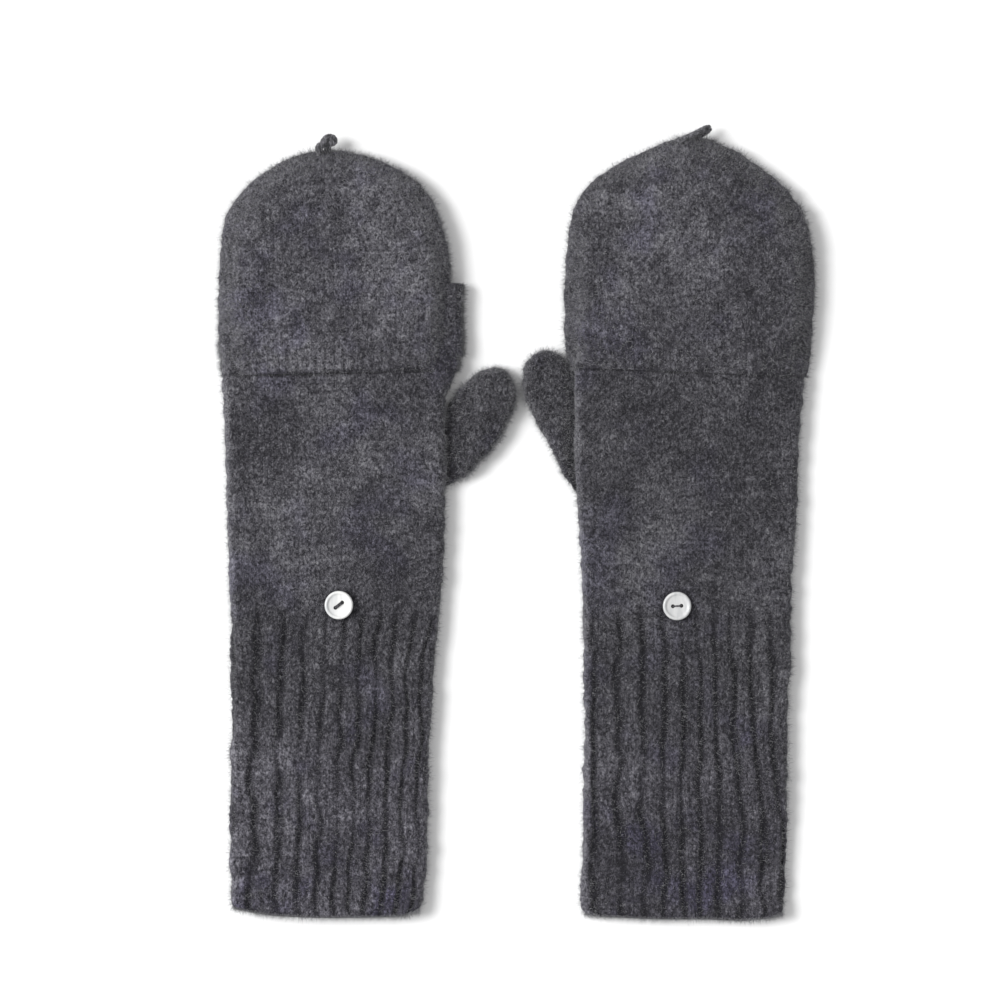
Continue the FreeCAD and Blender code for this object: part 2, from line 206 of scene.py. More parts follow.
def mesh_from_rings(name, rings, values):
    """A closed mesh from rings of points, with the first and last ring folded flat shut."""
    count, size = rings.shape[:2]
    places = rings.reshape(-1, 3)
    index = np.arange(count * size).reshape(count, size)
    quads = np.stack([index[:-1], np.roll(index[:-1], -1, 1), np.roll(index[1:], -1, 1), index[1:]], -1)
    _, first, same = np.unique(np.round(places / 1e-7).astype(np.int64), axis=0,
                               return_index=True, return_inverse=True)
    quads = first[same.ravel()][quads.reshape(-1, 4)]
    used, packed = np.unique(quads, return_inverse=True)
    quads = packed.reshape(-1, 4)
    twice = (quads == np.roll(quads, -1, 1)).any(axis=1)
    faces = quads[~twice].tolist()
    for quad in quads[twice].tolist():
        face = [v for k, v in enumerate(quad) if v != quad[k - 1]]
        if len(set(face)) > 2 and len(set(face)) == len(face):
            faces.append(face)
    mesh = bpy.data.meshes.new(name)
    mesh.from_pydata(places[used].tolist(), [], faces)
    mesh.validate()
    for label, value in values.items():
        value = np.asarray(value, np.float32)
        if value.ndim == 3:
            layer = mesh.attributes.new(label, "FLOAT_VECTOR", "POINT")
            layer.data.foreach_set("vector", value.reshape(-1, 3)[used].ravel())
        else:
            layer = mesh.attributes.new(label, "FLOAT", "POINT")
            layer.data.foreach_set("value", value.ravel()[used])
    finish_mesh(mesh)
    return add(name, mesh)


def ring_normals(rings):
    """Outward directions of a stack of rings that run from the far end of a pocket to its mouth."""
    around = np.roll(rings, -1, 1) - np.roll(rings, 1, 1)
    along = np.gradient(rings, axis=0)
    normals = np.cross(around, along)
    normals /= np.maximum(np.linalg.norm(normals, axis=2, keepdims=True), 1e-12)
    middle = normals[rings.shape[0] // 2, rings.shape[1] // 4]
    return normals if middle[2] > 0 else -normals


def pocket(name, left, right, line, low, high, edge, relief, mouth=True, fabric=FABRIC,
           lip_fade=2.5 * MM, bow=None):
    """A flat knitted pocket from its closed end to its mouth, both skins, as one closed mesh.

    left and right are matching points along its sides, and line is the outline that the fabric
    folds over. low and high give the heights of its two layers at a place, and edge is how far
    the rounding of the fold reaches in. relief gives how far the knitting stands out at a place
    on either layer, which fades out over lip_fade at the mouth, and how much shade is painted
    there, with painted light where that is below zero. bow bends the rows at the mouth. The outer
    skin is given back as well, for fibres to stand on.
    """
    width = np.linalg.norm(right - left, axis=1).max()
    columns = max(10, int(width / GRID))
    share = np.linspace(0, 1, columns)
    share = share - CROWDING * np.sin(2 * math.pi * share) / (2 * math.pi)
    x = left[:, :1] + (right - left)[:, :1] * share
    y = left[:, 1:] + (right - left)[:, 1:] * share
    if bow:
        y = y + bow(x, y)
    gap = plan_distance(x, y, line)
    gap[:, 0] = gap[:, -1] = 0
    bottom, top = low(x, y, gap), high(x, y, gap)
    middle, half = (bottom + top) / 2, (top - bottom) / 2
    rise = rounding(gap / edge)
    inner = slice(columns - 2, 0, -1)

    def rings_at(rows, shrink, thin):
        centre_x = (left[rows, 0] + right[rows, 0])[:, None] / 2
        centre_y = (left[rows, 1] + right[rows, 1])[:, None] / 2
        px = centre_x + (x[rows] - centre_x) * shrink
        py = centre_y + (y[rows] - centre_y) * shrink
        reach = np.maximum(half[rows] - thin, THINNEST) * rise[rows]
        upper = np.stack([px, py, middle[rows] + reach], -1)
        lower = np.stack([px, py, middle[rows] - reach], -1)
        return np.concatenate([upper, lower[:, inner]], 1)

    rows = np.arange(len(left))
    outer = rings_at(rows, 1, 0)
    normals = ring_normals(outer)
    from_mouth = np.linalg.norm((left + right)[-1] / 2 - (left + right) / 2, axis=1)[:, None]
    calm = smooth(from_mouth / lip_fade) if mouth else np.ones((len(left), 1))
    across = np.broadcast_to(share * width, x.shape)
    stand, painted_shading = relief(x, y, gap, across, np.ones_like(x))
    under, under_painted_shading = relief(x, y, gap, across, -np.ones_like(x))
    stand = np.concatenate([stand * calm, (under * calm)[:, inner]], 1)
    painted_shading = np.concatenate([painted_shading, under_painted_shading[:, inner]], 1)
    outer = outer + normals * stand[..., None]
    outer[..., 2] = np.maximum(outer[..., 2], LOWEST)
    knit = np.stack([across, y, np.zeros_like(x)], -1)
    knit = np.concatenate([knit, knit[:, inner] + np.array([0.5 * WALE, 0, 1.0])], 1)
    parts = [(outer, painted_shading, knit)]
    if mouth:
        thin = min(fabric, 0.45 * float(half[-1].max()))
        shrink = 1 - 1.2 * thin / np.maximum(np.linalg.norm(right - left, axis=1) / 2, thin * 2)
        back = [len(left) - 1]
        stride = 1
        while back[-1] - stride > MOUTH_DEPTH / GRID:
            back.append(back[-1] - stride)
            stride = min(stride + 1, 9)
        back = np.array(back)
        skin = rings_at(back, shrink[back][:, None], thin)
        skin[-1, :, 2] = np.concatenate([middle[back[-1]], middle[back[-1]][inner]])
        way = outer[-1] - outer[-4]
        way[:, 2] = 0
        way /= np.maximum(np.linalg.norm(way, axis=1, keepdims=True), 1e-9)
        turns = np.array([0.25, 0.5, 0.75]) * math.pi
        centre, reach = (outer[-1] + skin[0]) / 2, (outer[-1] - skin[0]) / 2
        lip = np.array([centre + reach * math.cos(t) + way * thin / 2 * math.sin(t) for t in turns])
        # painted shade on the lip, and on the skin drawn into the mouth
        dark = np.repeat(painted_shading[-1:], len(turns), 0) + LIP_DARK
        parts.append((lip, dark, np.repeat(knit[-1:], len(turns), 0)))
        parts.append((skin, np.full(skin.shape[:2], INSIDE_DARK), knit[back]))
    rings, painted_shadings, knits = (np.concatenate(group, 0) for group in zip(*parts))
    piece = mesh_from_rings(name, rings, {"painted_shading": painted_shadings, "knit": knits, "rest": rings})
    return piece, (outer, ring_normals(outer))


# ---------------------------------------------------------------- loose fibres

# Kinds of loose fibre: thickness, shortest, usual and longest reach, how far they stray from
# standing up, whether they grow at the folded edges only, and whether they curl.
FIBRES = {
    "nap": (0.042 * MM, 0.35 * MM, 0.45 * MM, 1.7 * MM, 0.85, False, False),
    "halo": (0.060 * MM, 0.5 * MM, 1.35 * MM, 3.8 * MM, 0.5, True, False),
    "strays": (0.040 * MM, 0.9 * MM, 1.3 * MM, 4.4 * MM, 0.6, True, True),
}
EDGE_SHADES = (0.2, 0.4, 0.4)  # shares of dark, grey and light fibres at the folded edges, where the larger share of light ones is painted rim light
NAP_SHADES = (0.3, 0.35, 0.35)  # and all over
RIM_BOOST = 11  # the rim of the cuff is one narrow row, and bears more fibres than its area would
ROOT_DEPTH = 0.15 * MM  # how far the fibres start inside the knitting


def fuzz(name, kind, skins, count, seed, shades):
    """Loose wool fibres standing on knitted skins, as thin closed spikes."""
    radius, least, usual, most, spread, edge_only, curl = FIBRES[kind]
    rng = np.random.default_rng(seed)
    roots, ways, weights = [], [], []
    for outer, normals in skins:
        across = np.linalg.norm(np.roll(outer, -1, 1) - outer, axis=2)
        along = np.linalg.norm(np.gradient(outer, axis=0), axis=2)
        area = across * along
        area = np.where(normals[..., 2] == 0, RIM_BOOST * area, area)
        steep = np.abs(normals[..., 2])
        side = np.where(steep < 0.5, 1, 0.3 * (steep < 0.93)) if edge_only else np.ones(area.shape)
        share = np.clip(normals[..., 2] + 0.6, 0, 1)
        roots.append(outer.reshape(-1, 3))
        ways.append(normals.reshape(-1, 3))
        weights.append((area * side * share).ravel())
    roots, ways, weights = np.vstack(roots), np.vstack(ways), np.concatenate(weights)
    chosen = rng.choice(len(roots), count, p=weights / weights.sum())
    way = ways[chosen] + rng.normal(0, spread, (count, 3))
    way /= np.linalg.norm(way, axis=1, keepdims=True)
    bend = rng.normal(0, 1, (count, 3))
    bend -= way * (bend * way).sum(axis=1, keepdims=True)
    length = np.minimum(least + rng.exponential(usual, (count, 1)), most)
    side = np.cross(way, bend)
    side /= np.maximum(np.linalg.norm(side, axis=1, keepdims=True), 1e-9)
    other = np.cross(way, side)
    base = roots[chosen] + rng.normal(0, 0.25 * MM, (count, 3)) - ways[chosen] * ROOT_DEPTH
    if curl:
        elbow = base + way * length * 0.55
        stages = [(base, 1.0), (elbow, 0.8)]
        tip = elbow + (way + 0.55 * bend) * length * 0.45
        pattern = [(0, 1, 4, 3), (1, 2, 5, 4), (2, 0, 3, 5), (3, 4, 6), (4, 5, 6), (5, 3, 6), (2, 1, 0)]
    else:
        stages = [(base, 1.0)]
        tip = base + way * length
        pattern = [(0, 1, 3), (1, 2, 3), (2, 0, 3), (2, 1, 0)]
    for place in [stage for stage, _ in stages] + [tip]:
        place[:, 2] = np.maximum(place[:, 2], 2 * radius)
    places = []
    for middle, thick in stages:
        for turn in (0, 2 * math.pi / 3, 4 * math.pi / 3):
            places.append(middle + radius * thick * (side * math.cos(turn) + other * math.sin(turn)))
    places = np.stack(places + [tip], 1)
    size = places.shape[1]
    faces = [tuple(k + v for v in face) for k in range(0, count * size, size) for face in pattern]
    mesh = bpy.data.meshes.new(name)
    mesh.from_pydata(places.reshape(-1, 3).tolist(), [], faces)
    mesh.polygons.foreach_set("use_smooth", [True] * len(mesh.polygons))
    for shade in shades:
        mesh.materials.append(shade)
    mix = EDGE_SHADES if edge_only else NAP_SHADES
    tone = np.repeat(rng.choice(len(shades), count, p=mix), len(pattern))
    mesh.polygons.foreach_set("material_index", tone.astype(np.int32))
    return add(name, mesh)


# ---------------------------------------------------------------- materials

class Shader:
    """A node material whose nodes are made and linked by name."""

    def __init__(self, name):
        self.material = bpy.data.materials.new(name)
        self.material.use_nodes = True
        self.tree = self.material.node_tree
        self.surface = self.tree.nodes["Principled BSDF"]

    def put(self, socket, value):
        if isinstance(value, bpy.types.NodeSocket):
            self.tree.links.new(value, socket)
        else:
            socket.default_value = value

    def node(self, kind, output=0, inputs=(), **settings):
        made = self.tree.nodes.new(kind)
        for key, value in settings.items():
            setattr(made, key, value)
        for key, value in dict(inputs).items():
            self.put(made.inputs[key], value)
        return made.outputs[output]

    def math(self, operation, first, second=0.0, third=0.0, clamp=False):
        return self.node("ShaderNodeMath", inputs={0: first, 1: second, 2: third},
                         operation=operation, use_clamp=clamp)

    def less_half(self, value):
        return self.math("SUBTRACT", value, 0.5)

    def off_half(self, value):
        return self.math("ABSOLUTE", self.less_half(value))

    def span(self, value, low, high, smoothly=True):
        kind = "SMOOTHSTEP" if smoothly else "LINEAR"
        return self.node("ShaderNodeMapRange", inputs={"Value": value, "From Min": low, "From Max": high},
                         interpolation_type=kind)

    def noise(self, vector, scale, detail=2.0, roughness=0.5, distortion=0.0):
        return self.node("ShaderNodeTexNoise", inputs={
            "Vector": vector, "Scale": scale, "Detail": detail, "Roughness": roughness,
            "Distortion": distortion})

    def stretched(self, vector, turn, size):
        return self.node("ShaderNodeMapping", inputs={
            "Vector": vector, "Rotation": turn, "Scale": size})

    def ramp(self, value, stops):
        made = self.tree.nodes.new("ShaderNodeValToRGB")
        self.put(made.inputs["Fac"], value)
        elements = made.color_ramp.elements
        while len(elements) < len(stops):
            elements.new(0.5)
        for element, (place, colour) in zip(elements, stops):
            element.position = place
            element.color = (*colour, 1)
        return made.outputs["Color"]

    def relief(self, height, strength, distance):
        return self.node("ShaderNodeBump", inputs={
            "Height": height, "Strength": strength, "Distance": distance})

    def finish(self, settings):
        """Set or link the sockets of the surface, and give back the material."""
        for key, value in settings.items():
            self.put(self.surface.inputs[key], value)
        return self.material


# Colours of the melange from its darkest fibres to its lightest, before they are scaled for each piece.
MELANGE = [(0.0, (0.014, 0.013, 0.017)), (0.3, (0.043, 0.041, 0.049)), (0.55, (0.107, 0.104, 0.119)),
           (0.8, (0.225, 0.221, 0.245)), (1.0, (0.36, 0.36, 0.38))]


def wool(name, tone_scale, grit):
    """Felted charcoal melange: light and dark fibres, faint stitches, and a soft bloom."""
    shader = Shader(name)
    rest = shader.node("ShaderNodeAttribute", "Vector", attribute_name="rest")
    knit = shader.node("ShaderNodeAttribute", "Vector", attribute_name="knit")
    painted_shading = shader.node("ShaderNodeAttribute", "Fac", attribute_name="painted_shading")
    # stitches: a V of two legs in every cell, columns of them side by side
    warp = shader.noise(rest, 260, 2)
    across = shader.node("ShaderNodeSeparateXYZ", 0, {0: knit})
    along = shader.node("ShaderNodeSeparateXYZ", 1, {0: knit})
    wale = shader.math("MULTIPLY_ADD", warp, 0.55, shader.math("DIVIDE", across, WALE))
    beside = shader.off_half(shader.math("FRACT", wale))
    course = shader.math("DIVIDE", along, COURSE)
    slanted = shader.math("MULTIPLY_ADD", beside, -1.5, shader.math("MULTIPLY_ADD", warp, 0.7, course))
    leg = shader.off_half(shader.math("FRACT", slanted))
    between = shader.span(leg, 0.24, 0.5)
    seam = shader.span(beside, 0.36, 0.5)
    gap = shader.math("MAXIMUM", between, seam)
    # melange: short fibres lying every way
    one = shader.noise(shader.stretched(rest, (0, 0, 0.9), (1, 0.6, 1)), 1150, 4, 0.75, 0.6)
    two = shader.noise(shader.stretched(rest, (0, 0, -0.7), (1, 0.6, 1)), 1000, 4, 0.75, 0.6)
    grain = shader.math("ADD", shader.less_half(one), shader.less_half(two))
    tufts, patch, cloud = [shader.less_half(shader.noise(rest, scale, 3, 0.6)) for scale in (420, 110, 24)]
    bent = shader.off_half(shader.noise(rest, 560, 2, 0.5, 1.2))
    curls = shader.math("SUBTRACT", 0.75, shader.span(bent, 0.0, 0.055))
    pits = shader.span(shader.noise(rest, 820, 2, 0.6), 0.47, 0.3)
    tone = shader.math("MULTIPLY_ADD", grain, grit, 0.54)
    for part, weight in ((curls, 0.2), (pits, -0.5), (tufts, 0.95), (patch, 0.55), (cloud, 0.8),
                         (gap, -0.13)):
        tone = shader.math("MULTIPLY_ADD", part, weight, tone)
    # painted shade: the attribute read above darkens the wool in grooves, creases, mouths and where the
    # thumb comes out from under the hand, and paints light where it is below zero
    tone = shader.math("MULTIPLY_ADD", painted_shading, -0.5, tone, clamp=True)
    colour = shader.ramp(tone, [(place, tuple(tone_scale * part for part in shade)) for place, shade in MELANGE])
    # faint purple patches, deeper towards the end of the cuff
    tint = shader.span(shader.noise(rest, 38, 2, 0.6), 0.5, 0.7)
    cuff = shader.span(shader.node("ShaderNodeSeparateXYZ", 1, {0: rest}), -0.06, -0.13)
    tint = shader.math("MULTIPLY", tint, shader.math("MULTIPLY_ADD", cuff, 0.4, 0.45))
    colour = shader.node("ShaderNodeMix", 2, {0: tint, 6: colour, 7: (0.74, 0.70, 1.0, 1)},
                         data_type="RGBA", blend_type="MULTIPLY")
    colour = shader.node("ShaderNodeMix", 2, {0: cuff, 6: colour, 7: (1.12, 1.10, 1.15, 1)},
                         data_type="RGBA", blend_type="MULTIPLY")
    height = shader.math("MULTIPLY_ADD", gap, -0.7, shader.math("MULTIPLY", grain, 1.1))
    height = shader.math("ADD", height, shader.math("MULTIPLY", tufts, 1.2))
    height = shader.math("MULTIPLY_ADD", curls, 0.5, height)
    height = shader.math("MULTIPLY_ADD", pits, -0.6, height)
    return shader.finish({
        "Base Color": colour, "Normal": shader.relief(height, 0.65, 0.35 * MM),
        "Roughness": shader.math("MULTIPLY_ADD", tone, -0.15, 1.0), "Specular IOR Level": 0.15,
        "Sheen Weight": 0.2, "Sheen Roughness": 0.6, "Sheen Tint": (0.8, 0.8, 0.86, 1)})


def fibre(name, colour):
    """One shade of loose wool fibre."""
    return Shader(name).finish({
        "Base Color": (*colour, 1), "Roughness": 0.7, "Specular IOR Level": 0.25, "Sheen Weight": 0.5})


def yarn(name, colour):
    """Twisted yarn, with its plies as fine slanted lines."""
    shader = Shader(name)
    rest = shader.node("ShaderNodeTexCoord", "Object")
    grain = shader.noise(shader.stretched(rest, (0.3, 0.5, 0.8), (1, 0.4, 1)), 1600, 3, 0.7, 0.5)
    tufts = shader.noise(rest, 700, 3, 0.6)
    tone = shader.math("MULTIPLY_ADD", grain, 2.0, shader.math("MULTIPLY_ADD", tufts, 1.6, -1.3))
    stops = [(0.1, tuple(0.25 * c for c in colour)), (0.5, colour), (0.9, tuple(3.2 * c for c in colour))]
    return shader.finish({
        "Base Color": shader.ramp(tone, stops), "Normal": shader.relief(tone, 0.6, 0.2 * MM),
        "Roughness": 0.9, "Specular IOR Level": 0.2, "Sheen Weight": 0.3})


def shell(name, pale, grey, turn):
    """Polished shell with soft pearly bands."""
    shader = Shader(name)
    place = shader.node("ShaderNodeTexCoord", "Object")
    bands = shader.noise(shader.stretched(place, (0, 0, turn), (1, 0.16, 1)), 190, 3, 0.5, 0.6)
    fine = shader.noise(shader.stretched(place, (0, 0, turn), (1, 0.2, 1)), 900, 2, 0.5, 1.0)
    tone = shader.math("MULTIPLY_ADD", fine, 0.18, bands)
    between = tuple((p + g) / 2 for p, g in zip(pale, grey))
    return shader.finish({
        "Base Color": shader.ramp(tone, [(0.42, grey), (0.58, between), (0.7, pale)]),
        "Normal": shader.relief(fine, 0.12, 0.1 * MM),
        "Roughness": shader.span(fine, -1.2, 3.2, False), "Coat Weight": 0.35, "Coat Roughness": 0.15})


# ---------------------------------------------------------------- one mitten

class Mitten:
    """Where one mitten lies, read from the frame."""

    def __init__(self, side, seed):
        self.side = side
        self.seed = seed
        self.toward = THUMB_SIDE[side]
        hem_low, hem_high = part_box(f"{side}_cap_hem")
        self.knuckles = hem_low.y
        self.middle = (hem_low.x + hem_high.x) / 2
        self.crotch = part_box(f"{side}_hand_tube")[1].y
        self.rib_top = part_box(f"{side}_cuff_top")[1].y
        self.cuff_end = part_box(f"{side}_cuff")[0].y
        self.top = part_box(f"{side}_hand_tube")[1].z
        button_low, button_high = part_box(f"{side}_button")
        self.button = (button_low + button_high) / 2
        self.button_radius = (button_high.x - button_low.x) / 2
        stations, sides = [], []
        for node in ("cuff", "cuff_top", "hand_tube"):
            low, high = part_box(f"{side}_{node}")
            ends = (low.y + 0.5 * MM, high.y - 0.5 * MM)
            stations += ends
            sides.append(node_sides([f"{side}_{node}"], ends))
        self.stations, self.sides = np.array(stations), np.vstack(sides)
        self.wander = field(seed + 1, 60 * MM)

    def name(self, piece):
        return f"{self.side}_{piece}"

    def edges(self, y):
        """X of the two folded edges of hand and cuff, with the wander of a soft edge."""
        left, right = (np.interp(y, self.stations, self.sides[:, k]) for k in (0, 1))
        sway = 0.22 * MM * self.wander(0, y)
        drift = [np.interp(y / MM, [place for place, _ in table], [shift for _, shift in table]) * MM
                 for table in EDGE_DRIFT[self.side]]
        back = self.knuckles - y
        nip = NIP[self.side] * smooth((back + 4 * MM) / (15 * MM))
        nip = nip * (1 - 0.85 * smooth((back - 13 * MM) / (56 * MM)))
        return left + drift[0] + sway, right + drift[1] + sway - nip


def bend_wrist(mitten, piece):
    """Bakes the piece's placement into its mesh; the wrist joint is read but the piece is not bent."""
    wrist = Vector(JOINTS[mitten.name("wrist_bend")]["pos_m"])
    mitten.name("hand")
    mitten.name("cuff")
    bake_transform(piece)


def bend_knuckles(mitten, piece):
    """Bakes the piece's placement into its mesh; the cap's hinge is read but the piece is not turned."""
    hinge = Vector(JOINTS[mitten.name("cap_flip")]["pos_m"])
    mitten.name("hand")
    mitten.name("cap")
    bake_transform(piece)


def bend_loop(mitten, piece):
    """Bakes the piece's placement into its mesh; the loop's pivot is read but the piece does not swing."""
    tack = Vector(JOINTS[mitten.name("loop_swing")]["pos_m"]) + Vector(LOOP_SAG)
    mitten.name("cap")
    mitten.name("loop")
    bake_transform(piece)


def bend_thumb(mitten, piece):
    """Bakes the piece's placement into its mesh; the thumb's joint is read but the piece is not bent."""
    joint = JOINTS[mitten.name("thumb_fold")]
    mitten.name("hand")
    mitten.name("thumb")
    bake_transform(piece)


# How far the soft edges of hand and cuff stray from straight, left edge and then right edge:
# place along the mitten and shift to the right, in millimetres.
EDGE_DRIFT = {
    "left": ([(-170, -1.4), (-150, -1.2), (-135, -1.6), (-110, -2.0), (-95, -1.6), (-80, -1.4),
              (-65, -1.7), (-50, -1.9), (-40, -1.1), (-20, -1.0), (0, -0.8), (15, -0.6), (38, 0.0),
              (55, -0.6)],
             [(-172, -1.0), (-160, -0.4), (-145, -0.2), (-132, -0.8), (-122, -1.8), (-100, -2.5),
              (-80, -2.2), (-55, -2.0), (-44, -0.6), (-25, -0.1), (-8, -0.5), (2, -1.0), (12, -1.0),
              (20, 0.0), (60, -0.6), (70, -2.0), (95, -2.0)]),
    "right": ([(-170, -0.6), (-150, -0.3), (-135, 0.2), (-120, 0.3), (-90, 0.6), (-75, 0.5),
               (-62, -0.2), (-40, -0.2), (-18, -0.5), (-8, -1.0), (8, -1.6), (30, -1.6), (60, -0.4)],
              [(-170, 0.7), (-155, 0.2), (-140, 0.4), (-122, -0.2), (-105, -0.7), (-88, -0.4),
               (-72, 0.6), (-60, 0.0), (-40, 0.1), (-25, -1.0), (-12, -0.5), (0, 0.0), (20, -0.5),
               (40, -0.5), (60, 0.2)]),
}
# How far the end of the cuff strays from straight: place across and shift towards the hand.
END_DRIFT = {
    "left": [(-46, 4.0), (-42, 3.1), (-35, 1.6), (-28, 0.7), (-15, 0.1), (-2, -0.2), (18, 0.0),
             (30, 0.4), (38, 3.3)],
    "right": [(-44, 1.2), (-38, 0.5), (-30, 0.2), (-18, -0.4), (9, -0.5), (16, -0.9), (25, -1.1),
              (35, -0.2), (38.5, 0.6), (42, 2.3)],
}
NIP = {"left": 5.4 * MM, "right": 0.0}  # how far the hand draws in above the thumb
CREASE = {"left": 0.5, "right": 0.3}  # how much shade is painted in the crease at the knuckles
HEM_TILT = {"left": 0.03, "right": -0.042}  # slope of the knuckle line
RIB_START = 13 * MM  # the ribs deepen over this length
RIB_PITCH = 9 * MM
RIB_DEPTH = 1.2 * MM
RIB_DARK = {"left": 0.97, "right": 1.15}  # how much shade is painted in the grooves of the ribbing


def knuckle_line(mitten, x):
    """Y of the cap's mouth, which slopes and wavers a little."""
    across = x - mitten.middle
    waver = 0.35 * MM * np.sin(across / (9 * MM) + mitten.seed) + 0.2 * MM * np.sin(across / (4 * MM))
    return mitten.knuckles + HEM_TILT[mitten.side] * across + waver


def crease_dark(mitten, x):
    """How much shade is painted in the crease at the knuckles, which comes and goes along it."""
    broken = np.clip(0.75 + 0.45 * field(mitten.seed + 11, 10 * MM)(x, 0), 0.15, 1.3)
    return CREASE[mitten.side] * broken


def rib_number(mitten, across, y):
    """Count of the grooves from the left edge; the ribs wander and lean as they run."""
    up = (y - mitten.cuff_end) / (mitten.rib_top - mitten.cuff_end)
    if mitten.side == "left":
        return 0.02 + 7.7 * across + 3.0 * across ** 2 - 0.22 * up
    crowd = 0.35 * np.sin(math.pi * np.clip((across - 0.06) / 0.6, 0, 1))
    return 0.38 + 9.86 * across - crowd + 1.1 * (up - 0.22) * across


def ribs(mitten, across, x, y):
    """How deep the grooves of the ribbing are at a place, and a finer line on each rib."""
    start = smooth((mitten.rib_top - y) / RIB_START)
    bend = 0.07 * field(mitten.seed + 7, 30 * MM)(x, y) + 0.06 * field(mitten.seed + 8, 11 * MM)(x, y)
    phase = rib_number(mitten, across, y) + bend
    groove = np.abs(phase - np.round(phase)) * RIB_PITCH
    crown = np.abs(phase - np.floor(phase) - 0.5) * RIB_PITCH
    depth, line = bump(groove, 1.35 * MM), bump(crown, 0.55 * MM)
    uneven = np.clip(1 + 0.3 * field(mitten.seed + 9, 26 * MM)(x, y), 0.35, 1.6)
    return start * depth * uneven, start * line


def felt(seed):
    """The uneven surface of felted wool."""
    small, broad = field(seed + 3, 1.5 * MM, 60), field(seed + 4, 6 * MM)

    def value(x, y):
        return 0.14 * MM * small(x, y) + 0.18 * MM * broad(x, y)

    return value


def hand(mitten, material):
    """The knitted tube of hand and cuff, open at the wrist end."""
    rows = int((mitten.crotch - mitten.cuff_end) / GRID)
    y = np.linspace(mitten.crotch + 1.5 * MM, mitten.cuff_end + 0.9 * MM, rows)
    left_x, right_x = mitten.edges(y)
    corner = 5 * MM
    tuck = corner * (1 - rounding((y - mitten.cuff_end) / corner))
    left = np.column_stack([left_x + tuck, y])
    right = np.column_stack([right_x - tuck, y])
    line = even(np.vstack([left[::-1], right]))
    thick = mitten.top - 2 * FLOOR_GAP
    surface = felt(mitten.seed)
    waves, folds = field(mitten.seed + 5, 70 * MM), field(mitten.seed + 6, 26 * MM)

    def low(x, y, gap):
        return np.full(x.shape, FLOOR_GAP)

    def high(x, y, gap):
        cuff = smooth((mitten.rib_top - y) / (150 * MM))
        open_back = smooth((mitten.knuckles - y) / (12 * MM))
        rumple = open_back * (0.3 * MM * waves(x, y) + 0.13 * MM * folds(x, y))
        return FLOOR_GAP + thick - 0.9 * MM * cuff + rumple

    def relief(x, y, gap, across, layer):
        share = across / across.max()
        depth, line = ribs(mitten, share, x, y)
        back = layer > 0
        seat = np.hypot(x - mitten.button.x, y - mitten.button.y)
        dimple = back * bump(seat, 7.5 * MM)
        ring = back * bump(seat - mitten.button_radius - 0.4 * MM, MM)
        crease = back * bump(knuckle_line(mitten, x) - y - 0.1 * MM, MM)
        wales = np.cos(2 * math.pi * across / WALE)
        stand = surface(x, y) + 0.05 * MM * wales - RIB_DEPTH * depth - 0.22 * MM * line
        # painted shade: in the grooves of the ribbing, in the fine line on each rib, in a ring round the
        # button and in the crease at the knuckles
        dark = RIB_DARK[mitten.side] * depth + 0.15 * line + 0.3 * ring
        dark = dark + crease_dark(mitten, x) * crease
        # painted light: the ribbing along the left folded edge of the cuff is lightened, as if lit from
        # the left
        lit_cuff_side = 0.16 * bump(across - 5 * MM, 4.5 * MM) * smooth((mitten.rib_top - y) / RIB_START)
        # painted rim light along the folded edges, stronger on the left half
        rim = np.where(share < 0.5, 0.44, 0.12) * bump(gap, 2.6 * MM)
        return stand - 0.35 * MM * dimple, dark - lit_cuff_side - rim

    def bow(x, y):
        places, shifts = np.array(END_DRIFT[mitten.side]).T
        near_end = smooth((mitten.cuff_end + 22 * MM - y) / (20 * MM))
        return np.interp((x - mitten.middle) / MM, places, shifts) * MM * near_end

    name = mitten.name("hand_and_cuff")
    piece, skin = pocket(name, left, right, line, low, high, 3.9 * MM, relief, bow=bow)
    piece.data.materials.append(material)
    bend_wrist(mitten, piece)
    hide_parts(*[mitten.name(node) for node in ("hand_tube", "cuff_top", "cuff", "thumb_gusset")])
    skin[1][-1] = (0, -1, 0)  # fibres stand straight out of the end of the cuff
    return skin


def stalls(mitten, material):
    """The four open finger stalls."""
    skins = []
    for number, finger in enumerate(FINGERS):
        low_corner, high_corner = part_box(mitten.name(f"{finger}_stall"))
        root, tip = low_corner.y - 5 * MM, high_corner.y
        rows = int((tip - root) / GRID)
        y = np.linspace(root, tip, rows)
        squeeze = 0.2 * MM * smooth((y - tip + 9 * MM) / (9 * MM))
        sway = 0.3 * MM * np.sin(y / (11 * MM) + number)
        left = np.column_stack([low_corner.x + 0.1 * MM + squeeze + sway * 0.5, y])
        right = np.column_stack([high_corner.x - 0.1 * MM - squeeze + sway * 0.5, y])
        line = even(np.vstack([left[::-1], right]))
        surface = felt(mitten.seed + 20 + number)

        def low(x, y, gap):
            return np.full(x.shape, FLOOR_GAP)

        def high(x, y, gap):
            return np.full(x.shape, mitten.top - 0.25 * MM)

        def relief(x, y, gap, across, layer):
            end = bump(tip - y - 3.2 * MM, 0.5 * MM)
            side = bump(gap - 0.2 * MM, 0.9 * MM)
            wales = np.cos(2 * math.pi * across / WALE)
            stand = 0.8 * surface(x, y) + 0.05 * MM * wales - 0.2 * MM * end
            # painted shade in the sunk line near the tip and along the folded sides
            return stand, 0.3 * end + 0.15 * side

        piece, skin = pocket(mitten.name(f"{finger}_finger_stall"), left, right, line, low, high,
                             3.8 * MM, relief, fabric=1.4 * MM)
        piece.data.materials.append(material)
        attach(piece, mitten.name("hand"))
        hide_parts(mitten.name(f"{finger}_stall"))
        skins.append(skin)
    return skins


